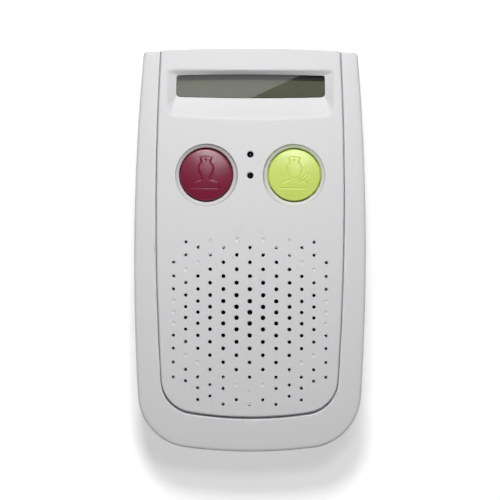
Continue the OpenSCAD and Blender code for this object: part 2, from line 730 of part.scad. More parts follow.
// Half of the figure, from the middle of its hat down to the end of its base, and the outline of the
// tick beside it, as shares of the cap's radius
figure_shares = [[0, 0.71], [0.24, 0.68], [0.17, 0.47], [0.27, 0.38], [0.3, 0.27], [0.26, 0.09], [0.15, -0.1],
                 [0.19, -0.18], [0.48, -0.27], [0.56, -0.37], [0.57, -0.52]];
tick_shares = [[0.11, -0.08], [0.22, -0.18], [0.5, 0.08], [0.58, 0], [0.23, -0.32], [0.03, -0.15]];
cross_share = 0.06;
cross_y_share = 0.58;
module stroke(points) for (i = [0:len(points) - 2]) {
    a = points[i];
    b = points[i + 1];
    translate(a) rotate(atan2(b[1] - a[1], b[0] - a[0])) translate([-mark_line / 2, -mark_line / 2])
        square([norm(b - a) + mark_line, mark_line]);
}
// A closed outline moved outwards by d
function widened(p, d) = [for (i = [0:len(p) - 1])
    let (a = p[(i + len(p) - 1) % len(p)], b = p[i], c = p[(i + 1) % len(p)],
         u = (b - a) / norm(b - a), v = (c - b) / norm(c - b))
    b + d * [-u[1] - v[1], u[0] + v[0]] / (1 + u * v)];
module tick_mark() difference() {
    polygon(widened(cap_r * tick_shares, mark_line / 2));
    polygon(widened(cap_r * tick_shares, -mark_line / 2));
}
module figure_mark() {
    half = cap_r * figure_shares;
    foot = half[len(half) - 1];
    arm = cross_share * cap_r;
    stroke(half);
    mirror([1, 0]) stroke(half);
    stroke([[-foot[0], foot[1]], foot]);
    translate([0, cross_y_share * cap_r]) {
        square([2 * arm, mark_line], center = true);
        square([mark_line, 2 * arm], center = true);
    }
}
module round_cap() difference() {
    union() {
        rotate_extrude() polygon(cap_profile);
        rod(cap_r + flange_w, flange_low, flange_top);
    }
    tube(cap_r - cap_wall, stem_d / 2, flange_low - over, button_face - cap_roof);
    rod(stem_d / 2 + over, flange_low - over, plunger_top);
    // Only the skin over the sunk dome is cut by the mark
    difference() {
        translate([0, 0, button_face - cap_roof / 2]) linear_extrude(cap_roof) children();
        translate([0, 0, dome_z]) sphere(r = cap_dome_r - mark_sink, $fn = 200);
    }
}
module call_button() color(burgundy) translate(button_places[0]) round_cap() figure_mark();
module answer_button() color(lime) translate(button_places[1]) round_cap() {
    figure_mark();
    tick_mark();
}
module plunger() rod(plunger_d / 2, plunger_top - press_travel - plunger_root, plunger_top);
module call_plunger() color(black_part) translate(button_places[0]) plunger();
module answer_plunger() color(black_part) translate(button_places[1]) plunger();
module tact_switch() difference() {
    block(switch_w, switch_w, board_top, board_top + switch_h);
    rod(plunger_d / 2 + plunger_play, plunger_top - 2 * press_travel - plunger_root - seat_gap,
        board_top + switch_h + over);
}
module call_switch() color(steel) translate(button_places[0]) tact_switch();
module answer_switch() color(steel) translate(button_places[1]) tact_switch();

// Silicone cone that returns the cap and keeps liquid off the switch
boot_t = 0.6;
boot_foot_r = 8;
boot_top_r = 4.5;
module return_boot() {
    high = button_face - cap_roof - core_play;
    rotate_extrude() polygon([[boot_foot_r - boot_t, board_top], [boot_foot_r, board_top],
                              [boot_foot_r, board_top + boot_t], [boot_top_r, high],
                              [boot_top_r - boot_t, high], [boot_foot_r - boot_t, board_top + boot_t]]);
}
module call_boot() color("#D9D9D4") translate(button_places[0]) return_boot();
module answer_boot() color("#D9D9D4") translate(button_places[1]) return_boot();

// Behind the ports
mic_d = 6;
mic_h = 2.7;
mic_boot_d = 7.8;
mic_top = under_at(0, lower_port_y) - core_play;
module microphone() color(steel) translate([0, lower_port_y, 0])
    rod(mic_d / 2, mic_top - mic_h, mic_top - seat_gap);
module mic_boot() color(black_part) translate([0, lower_port_y, 0]) difference() {
    rod(mic_boot_d / 2, board_top, mic_top);
    rod(mic_d / 2, mic_top - mic_h, mic_top + over);
}
receiver_w = 5.4;
receiver_h = 4.4;
receiver_lens_d = 3;
receiver_top = under_at(0, upper_port_y) - seat_gap;
lead_w = 0.6;
module ir_receiver() color("#2A2230") translate([0, upper_port_y, 0]) {
    shoulder = receiver_top - receiver_lens_d / 2;
    block(receiver_w, receiver_w, shoulder - receiver_h, shoulder);
    intersection() {
        translate([0, 0, shoulder]) sphere(d = receiver_lens_d);
        block(receiver_w, receiver_w, shoulder - least_r, receiver_top + over);
    }
    for (k = [-1:1]) translate([k * receiver_w / 3, 0, 0])
        block(lead_w, lead_w, board_top, shoulder - receiver_h + least_r);
}

// Loudspeaker, from the front backwards
speaker_r = speaker_d / 2;
surround_w = 1.6;
basket_h = 8.2;
cone_r = speaker_r - cone_rim_w - surround_w;
flange_z = clip_seat + basket_t;
magnet_top = flange_z - basket_h;
magnet_low = magnet_top - magnet_h;
magnet_r = magnet_d / 2;
coil_r = 7.75;
coil_t = 0.4;
coil_gap = 0.3;
iron_t = 1.5;
spider_lift = 2.2;
spider_z = magnet_top + spider_lift;
spider_r = magnet_r + surround_w;
cone_t = 0.4;
basket_foot_r = spider_r + basket_t;
module grille_cloth() color(black_part) translate([0, grille_y, 0])
    rod(speaker_r, speaker_seat - cloth_t, speaker_seat);
module speaker_gasket() color("#3A3A3C") translate([0, grille_y, 0])
    tube(speaker_r, speaker_r - cone_rim_w, flange_z, speaker_seat - cloth_t);
module speaker_frame() color(steel) translate([0, grille_y, 0]) difference() {
    rotate_extrude() polygon([[speaker_r, flange_z], [speaker_r - cone_rim_w, flange_z],
        [speaker_r - cone_rim_w, flange_z - basket_t * 2], [basket_foot_r - basket_t, spider_z],
        [basket_foot_r - basket_t, magnet_top + basket_t], [magnet_r / 1.4, magnet_top + basket_t],
        [magnet_r / 1.4, magnet_top], [basket_foot_r, magnet_top], [basket_foot_r, spider_z],
        [speaker_r - cone_rim_w + basket_t, flange_z - basket_t * 2],
        [speaker_r - cone_rim_w + basket_t, clip_seat],
        [speaker_r, clip_seat]]);
    // Four windows in the basket
    for (t = [45:90:315]) rotate(t) translate([speaker_r - cone_rim_w, 0, 0])
        block(magnet_r / 1.6, magnet_r, spider_z + basket_t, clip_seat - 2 * basket_t);
}
module speaker_magnet() color("#4A4A4E") translate([0, grille_y, 0]) {
    tube(magnet_r, magnet_r / 1.5, magnet_low, magnet_top - iron_t);
    tube(magnet_r, coil_r + coil_t + coil_gap, magnet_top - iron_t, magnet_top);
    rod(magnet_r - iron_t, magnet_low - iron_t, magnet_low);
    rod(coil_r - coil_gap, magnet_low - iron_t / 2, magnet_top);
}
module voice_coil() color("#B4643C") translate([0, grille_y, 0])
    tube(coil_r + coil_t, coil_r, magnet_top - iron_t * 3, spider_z);
module speaker_spider() color("#C9A86A") translate([0, grille_y, 0])
    tube(spider_r - core_play, coil_r + coil_t + core_play, spider_z - cone_t * 2, spider_z - cone_t);
module speaker_cone() color(black_part) translate([0, grille_y, 0]) {
    rim_z = flange_z - cone_t * 2;
    neck_r = coil_r + coil_t;
    rotate_extrude() polygon([[cone_r, rim_z], [neck_r, spider_z + cone_t], [neck_r, spider_z], [0, spider_z],
        [0, spider_z + coil_r / 2], [coil_r * 0.5, spider_z + coil_r * 0.42], [neck_r, spider_z + cone_t * 3],
        [cone_r, rim_z + cone_t]]);
}
module speaker_surround() color("#262628") translate([0, grille_y, 0])
    tube(speaker_r - cone_rim_w - core_play, cone_r + core_play, flange_z - cone_t * 2, flange_z - cone_t);

clip_t = 0.8;
clip_reach = 1.8;
clip_in_r = speaker_r - clip_reach;
clip_head_d = 3.6;
clip_head_h = 1.2;
clip_thread = 2.4;
module at_clips() translate([0, grille_y, 0]) for (t = clip_angles) rotate(t) children();
module speaker_clips() color(steel) at_clips() difference() {
    translate([(clip_in_r + clip_r + clip_w / 2) / 2, 0, 0])
        block(clip_r + clip_w / 2 - clip_in_r, clip_w, clip_seat - clip_t, clip_seat);
    translate([clip_r, 0, 0]) rod(clip_screw_d / 2 + core_play, clip_seat - clip_t - over, clip_seat + over);
}
module clip_screws() color(steel) at_clips() translate([clip_r, 0, clip_seat - clip_t])
    pan_screw(clip_screw_d - 2 * clip_bite - core_play, clip_head_d, clip_head_h,
              clip_t + clip_thread - seat_gap);

// Stood up against the wall
module stand() rotate([90, 0, 0]) children();
stand() wall_plate();
stand() thread_insert();
stand() terminal_block();
stand() terminal_screws();
stand() link_socket();
stand() link_header();
stand() housing();
stand() security_screw();
stand() fascia();
stand() fascia_screws();
stand() display_lens();
stand() lcd_bezel();
stand() lcd_glass();
stand() backlight();
stand() main_board();
stand() board_screws();
stand() processor_chip();
stand() amplifier_chip();
stand() capacitors();
stand() call_button();
stand() call_plunger();
stand() call_switch();
stand() call_boot();
stand() answer_button();
stand() answer_plunger();
stand() answer_switch();
stand() answer_boot();
stand() microphone();
stand() mic_boot();
stand() ir_receiver();
stand() grille_cloth();
stand() speaker_gasket();
stand() speaker_frame();
stand() speaker_magnet();
stand() speaker_spider();
stand() speaker_surround();
stand() speaker_cone();
stand() voice_coil();
stand() speaker_clips();
stand() clip_screws();
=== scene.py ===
import json
import math
from collections import namedtuple

import bpy
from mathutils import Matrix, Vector, geometry, kdtree

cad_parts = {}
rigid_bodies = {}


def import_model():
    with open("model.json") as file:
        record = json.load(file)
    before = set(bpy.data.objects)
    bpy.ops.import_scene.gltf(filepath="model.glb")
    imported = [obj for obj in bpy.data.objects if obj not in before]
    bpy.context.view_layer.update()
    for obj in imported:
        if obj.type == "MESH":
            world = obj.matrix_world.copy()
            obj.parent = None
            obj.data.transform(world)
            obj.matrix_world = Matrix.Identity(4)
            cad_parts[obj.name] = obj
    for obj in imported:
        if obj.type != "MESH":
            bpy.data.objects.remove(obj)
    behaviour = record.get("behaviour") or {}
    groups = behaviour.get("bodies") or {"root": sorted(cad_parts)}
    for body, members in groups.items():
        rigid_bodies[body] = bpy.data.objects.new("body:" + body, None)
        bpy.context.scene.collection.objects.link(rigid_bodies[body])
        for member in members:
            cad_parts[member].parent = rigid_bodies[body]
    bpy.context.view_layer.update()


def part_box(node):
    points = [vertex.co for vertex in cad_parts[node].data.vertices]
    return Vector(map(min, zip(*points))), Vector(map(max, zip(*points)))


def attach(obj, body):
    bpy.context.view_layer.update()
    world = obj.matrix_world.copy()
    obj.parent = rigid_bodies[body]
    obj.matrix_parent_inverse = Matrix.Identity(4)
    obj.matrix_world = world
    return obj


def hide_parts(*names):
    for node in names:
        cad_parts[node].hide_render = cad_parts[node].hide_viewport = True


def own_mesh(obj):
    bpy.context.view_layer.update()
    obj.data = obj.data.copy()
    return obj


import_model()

# The case: a U-shaped housing moulded in pale grey-white ABS from a spark-eroded tool, so its skin is
# satin. It hangs on the wall plate and a screw holds it at the foot; its front is crowned both ways.
# Its shapes are drawn flat on the face, x across and y up, with z out from the wall, in millimetres.
MM = 0.001
# An outline: its half width, the height of its widest place and the radius of its sides' bow; then, for its
# bottom and for its top, the height in the middle, the bow's radius and the corners' radius
Shape = namedtuple("Shape", "half waist side_r low low_r low_corner high high_r high_corner")
least_r = 0.05
case_box = [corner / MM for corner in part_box("housing")]
fascia_box = [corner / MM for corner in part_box("fascia")]
case_draft = 0.3
case_half = case_box[1].x - case_draft
case_low = case_box[0].z + case_draft
case_high = case_box[1].z - case_draft
fascia_half = fascia_box[1].x
fascia_low = fascia_box[0].z
fascia_high = fascia_box[1].z
case_shape = Shape(half=case_half, waist=-2, side_r=955, low=case_low, low_r=205, low_corner=22.5,
                   high=case_high, high_r=790, high_corner=1.5)
fascia_shape = Shape(half=fascia_half, waist=18.5, side_r=1144, low=fascia_low, low_r=156, low_corner=14,
                     high=fascia_high, high_r=790, high_corner=1.5)
# Heights above the wall: back of the case, crown of the band, and the ledge that carries the fascia
wall_gap = -case_box[1].y
fascia_proud = 0.6
crown_z = -fascia_box[0].y - fascia_proud
ledge_z = crown_z - 6.4
hollow_z = crown_z - 4.6
crown_across_r = 640
crown_along_r = 1300
# The foot of the fascia falls away from the crown on a tighter bow
fall_y = -0.12 * fascia_high
fall_r = 770
# Rounded edges outside and at the seat, the gap round the fascia, and the walls behind it
case_edge_r = 1.2
band_edge_r = 0.55
groove_w = 0.27
foot_groove_w = 0.85
ledge_w = 3.4
ledge_t = 2
case_wall = 2.2
channel_t = 1.8
# Cutting solids start behind the wall and end in front of the crown
cut_low = -1
cut_high = crown_z + 3


def stand(x, y, z):
    """A point of the face, z out from the wall, as a point of the room in metres."""
    return Vector((x, -z, y)) * MM


def inset(s, d):
    """The shape moved inwards by d all round."""
    return Shape(s.half - d, s.waist, s.side_r - d, s.low + d, s.low_r - d, max(s.low_corner - d, least_r),
                 s.high - d, s.high_r - d, max(s.high_corner - d, least_r))


def touching_centre(p, a, q, b, turn):
    """Centre of a corner that touches two bows, whose centres are p and q, a and b away from it."""
    pq = q - p
    far = pq.length
    u = pq / far
    along = (a * a - b * b + far * far) / (2 * far)
    return p + along * u + turn * math.sqrt(a * a - along * along) * Vector((-u.y, u.x))


def centres(s):
    """Centres of the right side's bow, the bottom's, the top's, and the low and high right corners."""
    side = Vector((s.half - s.side_r, s.waist))
    foot = Vector((0, s.low + s.low_r))
    head = Vector((0, s.high - s.high_r))
    low_c = touching_centre(side, s.side_r - s.low_corner, foot, s.low_r - s.low_corner, -1)
    high_c = touching_centre(side, s.side_r - s.high_corner, head, s.high_r - s.high_corner, 1)
    return side, foot, head, low_c, high_c


def bearing(p, q):
    """Direction from p to q, in radians."""
    return math.atan2(q.y - p.y, q.x - p.x)


def arc(centre, r, start, end, steps):
    """Points of an arc without its last."""
    turns = [start + (end - start) * i / steps for i in range(steps)]
    return [centre + r * Vector((math.cos(t), math.sin(t))) for t in turns]


def outline(s, fine=1.0):
    """Closed outline of a shape, clockwise from the middle of its top; fine scales the count of points."""
    side, foot, head, low_c, high_c = centres(s)
    head_end, side_start = bearing(head, high_c), bearing(side, high_c)
    side_end, foot_start = bearing(side, low_c), bearing(foot, low_c)
    bows = [(head, s.high_r, math.pi / 2, head_end, 28), (high_c, s.high_corner, head_end, side_start, 8),
            (side, s.side_r, side_start, side_end, 90), (low_c, s.low_corner, side_end, foot_start, 24),
            (foot, s.low_r, foot_start, -math.pi / 2, 28)]
    right = []
    for centre, r, start, end, steps in bows:
        right += arc(centre, r, start, end, max(2, round(steps * fine)))
    right.append(Vector((0, s.low)))
    return right + [Vector((-p.x, p.y)) for p in reversed(right[1:-1])]


def inside(shape, x, y, margin):
    """Whether x, y lies in the shape, further from its edge than margin."""
    s = inset(shape, margin)
    side, foot, head, low_c, high_c = centres(s)
    place, right = Vector((x, y)), Vector((abs(x), y))
    below = y < foot.y and (place - foot).length > s.low_r
    above = y > head.y and (place - head).length > s.high_r
    if below or above or (right - side).length > s.side_r:
        return False
    return abs(x) < low_c.x or y > low_c.y or (right - low_c).length < s.low_corner


def draped(shape, height, fine=1.0):
    """Points of an outline laid on a surface, height(x, y) above the wall."""
    return [(p.x, p.y, height(p.x, p.y)) for p in outline(shape, fine)]


def level(shape, z, fine=1.0):
    """Points of an outline, all at z."""
    return draped(shape, lambda x, y: z, fine)


def bow(along, y):
    """How far a bow of radius along has fallen at y from its middle, less than 0."""
    return math.sqrt(along ** 2 - y * y) - along


def crown(x, y, falls=False):
    """Height of the band's crown above the wall, or of the surface that falls away from it at the foot."""
    r = crown_across_r + bow(crown_along_r, y)
    if falls and y < fall_y:
        r = crown_across_r + bow(fall_r, y) + bow(crown_along_r, fall_y) - bow(fall_r, fall_y)
    return crown_z - crown_across_r + math.sqrt(r * r - x * x)


def face_height(x, y):
    """Height of the fascia's plain front."""
    return crown(x, y, True) + fascia_proud


def edge_rings(shape, r, lift, falls, steps=7):
    """Rings of a rounded edge that follows the crown, from the wall's top inwards."""
    rings = []
    for k in range(steps + 1):
        t = math.pi / 2 * k / steps
        rings.append(draped(inset(shape, r * (1 - math.cos(t))),
                            lambda x, y: crown(x, y, falls) + lift - r + r * math.sin(t)))
    return rings


def grid(x0, x1, y0, y1, step):
    """Points in staggered rows, step apart in a row, and the rows a little closer."""
    row_gap = 0.87
    for j in range(int((y1 - y0) / (step * row_gap)) + 2):
        y = y0 + j * step * row_gap
        for i in range(int((x1 - x0) / step) + 2):
            yield x0 + (i + 0.5 * (j % 2)) * step, y


# Edges that turn by more stay crisp in a smooth mesh
crisp_angle = math.radians(30)


def add_mesh(name, points, faces):
    """A piece from points of the room and faces."""
    mesh = bpy.data.meshes.new(name)
    mesh.from_pydata(points, [], faces)
    mesh.validate()
    mesh.shade_smooth()
    mesh.set_sharp_from_angle(angle=crisp_angle)
    piece = bpy.data.objects.new(name, mesh)
    bpy.context.scene.collection.objects.link(piece)
    return piece


def close_sheet(rings, inner, holes, under, least_t=0.05):
    """A plate drawn as points of its front: rings from its edge inwards, loose inner points and the
    rings round its holes, each hole's own edge first. under gives the height of its back."""
    front = []
    lines = []
    edge_of = {}
    for ring in rings + [ring for hole in holes for ring in hole]:
        start = len(front)
        front += ring
        lines += [(start + i, start + (i + 1) % len(ring)) for i in range(len(ring))]
        if any(ring is hole[0] for hole in holes):
            for i in range(len(ring)):
                edge_of[start + i] = start
    front += inner
    flat, _, triangles, source, _, _ = geometry.delaunay_2d_cdt([Vector((p[0], p[1])) for p in front],
                                                                lines, [], 0, 1e-6)
    heights = [front[s[0]][2] if s else under(*v) for s, v in zip(source, flat)]
    # A triangle whose corners are all on the edge of one hole lies in that hole
    owner = [edge_of.get(s[0], -1) if s else -1 for s in source]
    kept = [t for t in triangles
            if owner[t[0]] < 0 or owner[t[0]] != owner[t[1]] or owner[t[0]] != owner[t[2]]]
    count = len(flat)
    points = [stand(v.x, v.y, z) for v, z in zip(flat, heights)]
    points += [stand(v.x, v.y, min(under(v.x, v.y), z - least_t)) for v, z in zip(flat, heights)]
    faces = [tuple(t) for t in kept] + [tuple(i + count for i in reversed(t)) for t in kept]
    # Walls join front and back wherever an edge has a triangle on one side only
    used = {}
    for t in kept:
        for a, b in ((t[0], t[1]), (t[1], t[2]), (t[2], t[0])):
            used[(a, b)] = True
    faces += [(b, a, a + count, b + count) for a, b in used if (b, a) not in used]
    return points, faces


def loft(rings, name):
    """A closed solid through rings of points of the face, the lowest first."""
    n = len(rings[0])
    points = [stand(*p) for ring in rings for p in ring]
    faces = [tuple(range(n))]
    for k in range(len(rings) - 1):
        for i in range(n):
            j = (i + 1) % n
            faces.append((k * n + i, (k + 1) * n + i, (k + 1) * n + j, k * n + j))
    faces.append(tuple((len(rings) - 1) * n + i for i in reversed(range(n))))
    return add_mesh(name, points, faces)


def prism(shape, low, high, name, fine=1.0):
    """A straight solid of one outline."""
    return loft([level(shape, low, fine), level(shape, high, fine)], name)


def cut(piece, tools):
    """Tools cut out of a piece one after another, and then deleted."""
    for tool in tools:
        step = piece.modifiers.new("cut", "BOOLEAN")
        step.operation = "DIFFERENCE"
        step.solver = "EXACT"
        step.object = tool
        graph = bpy.context.evaluated_depsgraph_get()
        done = bpy.data.meshes.new_from_object(piece.evaluated_get(graph))
        piece.modifiers.clear()
        old = piece.data
        piece.data = done
        bpy.data.meshes.remove(old)
        bpy.data.objects.remove(tool)
    piece.data.shade_smooth()
    piece.data.set_sharp_from_angle(angle=crisp_angle)


band_step = 3
band_edge_clear = 2.5
core = [(x, y, crown(x, y)) for x, y in grid(-case_half, case_half, case_low, case_high, band_step)
        if inside(case_shape, x, y, band_edge_clear)]
points, faces = close_sheet(edge_rings(case_shape, case_edge_r, 0, False), core, [], lambda x, y: wall_gap)
housing = add_mesh("housing_shell", points, faces)
# The seat of the fascia, with a wider gap at the foot and a rounded edge all round
seat_shape = inset(fascia_shape, -groove_w)
seat_shape = seat_shape._replace(low=seat_shape.low - foot_groove_w + groove_w)
flare_steps = 6
flare = [level(seat_shape, ledge_z)]
for k in range(flare_steps + 1):
    t = math.pi / 2 * k / flare_steps
    flare.append(draped(inset(seat_shape, -band_edge_r * (1 - math.cos(t))),
                        lambda x, y: crown(x, y) - band_edge_r + band_edge_r * math.sin(t)))
flare.append(level(inset(seat_shape, -band_edge_r), cut_high))
# The hollow behind the band leaves the wall of the seat standing
hollow = prism(inset(case_shape, case_wall), cut_low, hollow_z, "hollow")
cut(hollow, [prism(inset(seat_shape, -channel_t), ledge_z - ledge_t, cut_high, "channel")])
cut(housing, [loft(flare, "seat"), hollow,
              prism(inset(fascia_shape, ledge_w), cut_low, cut_high, "way_through")])


def linear(code):
    """Linear colour of an sRGB hex value."""
    parts = [int(code[i:i + 2], 16) / 255 for i in (1, 3, 5)]
    return tuple(c / 12.92 if c <= 0.04045 else ((c + 0.055) / 1.055) ** 2.4 for c in parts) + (1,)


def add_node(owner, kind, values=(), links=(), **settings):
    """One node with its settings, its input values and its links from other nodes' outputs."""
    node = owner.node_tree.nodes.new(kind)
    for name, value in settings.items():
        setattr(node, name, value)
    for name, value in dict(values).items():
        node.inputs[name].default_value = value
    for name, output in dict(links).items():
        owner.node_tree.links.new(output, node.inputs[name])
    return node


def new_material(name):
    material = bpy.data.materials.new(name)
    material.use_nodes = True
    material.node_tree.nodes.clear()
    return material


def show(material, shader):
    """The material with its shader on its surface."""
    add_node(material, "ShaderNodeOutputMaterial", links={"Surface": shader.outputs[0]})
    return material


def on_piece(material):
    """Places measured on the piece itself."""
    return {"Vector": add_node(material, "ShaderNodeTexCoord").outputs["Object"]}


def patches(material, size_mm, detail, **values):
    """Soft random patches of about size_mm, from 0 to 1."""
    values.update(Scale=1 / (size_mm * MM), Detail=detail)
    return add_node(material, "ShaderNodeTexNoise", values, on_piece(material)).outputs["Fac"]


def spread(material, low, high, share):
    """Values from low to high as share goes from 0 to 1."""
    limits = {"To Min": low, "To Max": high}
    return add_node(material, "ShaderNodeMapRange", limits, {"Value": share}).outputs["Result"]


def raised(material, height_mm, pattern):
    """The skin's direction where a pattern stands out by height_mm."""
    height = {"Distance": height_mm * MM}
    return add_node(material, "ShaderNodeBump", height, {"Height": pattern}).outputs["Normal"]


def principled(material, values, **links):
    """The material with a Principled shader, from its values and the outputs linked to it."""
    inputs = {name.replace("_", " "): output for name, output in links.items()}
    return show(material, add_node(material, "ShaderNodeBsdfPrincipled", values, inputs))


def dress(piece, material):
    """One material on all of a piece."""
    if piece.material_slots:
        for slot in piece.material_slots:
            slot.material = material
    else:
        piece.data.materials.append(material)


def moulded(name, code, roughness, grain_mm, grain_depth_mm, ior=1.53):
    """Injection-moulded plastic: one colour all through, the tool's fine texture in its skin, and a gloss
    that drifts a little over the piece."""
    drift, drift_mm = 0.03, 22
    material = new_material(name)
    grain = patches(material, grain_mm, 2, Roughness=0.55)
    sheen = spread(material, roughness - drift, roughness + drift, patches(material, drift_mm, 2))
    return principled(material, {"Base Color": linear(code), "IOR": ior}, Roughness=sheen,
                      Normal=raised(material, grain_depth_mm, grain))


# ABS, moulded against a spark-eroded tool: an even satin. The real grain is about 0.05 mm and is drawn
# at 0.3 mm so that it shows at all.
case_abs = moulded("case_abs_satin", "#E1E1E2", 0.5, 0.3, 0.006)
dress(housing, case_abs)
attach(housing, "unit")
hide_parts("housing")

# The fascia: one moulding of the same ABS, let into the U of the case with a shadow gap round it and
# screwed from behind. Its crown follows the band; a scoop holds the window, two wells hold the caps, and
# 161 round places make the grille, of which 17 are blind because the loudspeaker's collar is behind them.
fascia_edge_r = 0.7
fascia_t = 2.2
skirt_t = 2.0
# The window, a little wider than what the lens's lap leaves, and bowed above and below
lens_box = [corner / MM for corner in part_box("display_lens")]
lens_lap = 1.4
window_slack = 0.15
window_half = lens_box[1].x - lens_lap + window_slack
window_low = lens_box[0].z + lens_lap
window_high = lens_box[1].z - lens_lap
window_bow = 0.45
window_bow_r = window_half ** 2 / (2 * window_bow)
window_shape = Shape(half=window_half, waist=window_low, side_r=16 * window_half,
                     low=window_low, low_r=window_bow_r, low_corner=1.7,
                     high=window_high, high_r=window_bow_r, high_corner=0.9)
# The scoop: depth of its sill and thickness under it, how far its sides run out to the face, how softly
# they meet it, and the field in which all this is meshed finely
window_sink = 2.5
sill_z = face_height(0, window_high) - window_sink
sill_t = 1
scoop_blend = 0.35
top_run = 1.75
side_run = 3.9
ramp_run = 8.5
ramp_sag = 0.75
scoop_half = window_half + 4.9
scoop_low = window_low - ramp_run - 2.4
scoop_high = window_high + 3.4
# The caps' wells: a gentle slope round each cap up to step_r, then a steep edge up to the face. The photo
# shows them a little higher than the CAD's.
key_low, key_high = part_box("answer_button")
button_lift = 0.25
button_x = (key_low.x + key_high.x) / 2 / MM
button_y = (key_low.z + key_high.z) / 2 / MM + button_lift
cap_r = 10.6
cap_gap = 0.55
well_ring = 1.2
well_edge = 0.6
well_sink = 2.1
well_slope = 0.75
well_lip = 0.15
step_blend = 0.08
rim_blend = 0.14
guide_drop = 2.2
guide_t = 1.4
well_r = cap_r + cap_gap
step_r = well_r + well_ring
button_face = face_height(button_x, button_y)
well_z = button_face - well_sink
step_z = well_z + (step_r - well_r) * well_slope
edge_slope = (button_face - step_z) / well_edge
guide_low = button_face - fascia_t - guide_drop
well_steps = (0.12, 0.4, 0.7, 1.0, 1.1, 1.2, 1.3, 1.4, 1.5, 1.6, 1.68, 1.76, 1.84, 1.95, 2.1, 2.3)
# Rings round the sunk edges: how far each is outside the radius, and how deep under the face
port_r = 1.3
port_ys = (button_y + 8.4, button_y - button_lift)
port_rings = ((0, 0.3), (0.12, 0.17), (0.3, 0.03), (0.42, 0), (0.55, 0))
hole_edge = 0.17
hole_rings = [(hole_edge * (1 - math.cos(t)), hole_edge * (1 - math.sin(t)))
              for t in (0, 0.5, 1.05, math.pi / 2)]
hole_rings.append((hole_edge + 0.08, 0))
dimple_rings = ((-0.25, 0.3), (-0.1, 0.2), (0.04, 0.1), (0.16, 0.03), (0.3, 0), (0.38, 0))
dimple_deep = 0.33
# The grille spreads from the loudspeaker's middle. Its holes shrink outwards to the least radius, from
# hole_more_r above it.
speaker_box = [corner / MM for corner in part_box("speaker_frame")]
grille_y = (speaker_box[0].z + speaker_box[1].z) / 2
collar_in = 29.2
collar_out = 32.2
hole_least_r = 0.61
hole_more_r = 0.44
row_step = 2.19
row_spread = 0.047
# Rows of each column in half steps from the grille's middle downwards, the middle column first
even_rows = (-10, -8, -6, -4, -2, 0, 2, 4, 6, 8, 10)
odd_rows = (-11, -9, -7, -5, -3, -1, 1, 3, 5, 7, 9, 11)
column_rows = (even_rows + (11.8, 13.4), odd_rows + (12.85,), even_rows + (11.45, 13.4), odd_rows + (12.4,),
               even_rows + (11.4, 12.85), (-10.7,) + odd_rows[1:-1] + (10.5,), even_rows[1:])
column_xs = (0, 5.43, 10.86, 16.29, 21.29, 26.29, 31.29)
# Fine and plain meshes, and what they keep clear of
scoop_step = 0.42
face_step = 2.4
well_points = 128
port_points = 40
hole_points = 18
well_clear = 14.2
port_clear = 2.2
hole_clear = 0.75
edge_clear = 2.9
window_clear = 0.45


def softmin(a, b, k):
    """The lesser of two heights, with a blend of about k where they meet."""
    h = max(0.0, min(1.0, 0.5 + 0.5 * (b - a) / k))
    return b + (a - b) * h - k * h * (1 - h)


def softmax(a, b, k):
    """The greater of two heights, blended likewise."""
    return -softmin(-a, -b, k)


def scoop(x, y):
    """Height of the fascia's front: the crown, with the scoop sunk into it. From the window's edge it
    climbs to the face, steeply above, less so beside and as a ramp below, with rounded corners."""
    share = (x / window_half) ** 2
    sag = window_bow * share
    over = max(0, (y - window_high + sag) / (top_run + sag))
    beside = max(0, (abs(x) - window_half) / side_run)
    below = max(0, (window_low + sag - y) / (ramp_run - ramp_sag * share))
    climb = (over ** 3 + beside ** 3 + below ** 3) ** (1 / 3)
    high = face_height(x, y)
    return softmin(high, sill_z + climb * (high - sill_z), scoop_blend)


def circle(x, y, r, height, count):
    """Points round x, y on a surface, height(x, y) above the wall."""
    turns = [2 * math.pi * i / count for i in range(count)]
    flat = [(x + r * math.cos(t), y + r * math.sin(t)) for t in turns]
    return [(u, v, height(u, v)) for u, v in flat]


def sunk(x, y, r, rings, count):
    """Rings round a hole or a dimple, each with its distance outside r and its depth under the face."""
    return [circle(x, y, r + out, lambda u, v: face_height(u, v) - deep, count) for out, deep in rings]


def well(x, y):
    """Rings of a cap's well."""
    rings = [circle(x, y, well_r, lambda u, v: well_z - well_lip, well_points)]
    for out in well_steps:
        high = softmax(well_z + out * well_slope, step_z + (well_r + out - step_r) * edge_slope, step_blend)
        rings.append(circle(x, y, well_r + out, lambda u, v: softmin(face_height(u, v), high, rim_blend),
                            well_points))
    return rings


def row_drop(row):
    """How far a row lies below the grille's middle; rows spread outwards."""
    return math.copysign(row_step * abs(row) + row_spread * row * row, row)


def fascia_back(x, y):
    """Height of the fascia's back: skirt, guides of the caps, floor of the scoop, plain wall."""
    if not inside(fascia_shape, x, y, skirt_t):
        return ledge_z
    if math.hypot(abs(x) - button_x, y - button_y) < well_r + guide_t:
        return guide_low
    return min(face_height(x, y) - fascia_t, scoop(x, y) - sill_t)


def away_from(x, y, circles):
    """Whether x, y is outside all circles, each given by its centre and radius."""
    return all(math.hypot(x - u, y - v) > r for u, v, r in circles)


places = [(side * x, grille_y - row_drop(row)) for x, rows in zip(column_xs, column_rows)
          for row in rows for side in ((-1, 1) if x else (1,))]
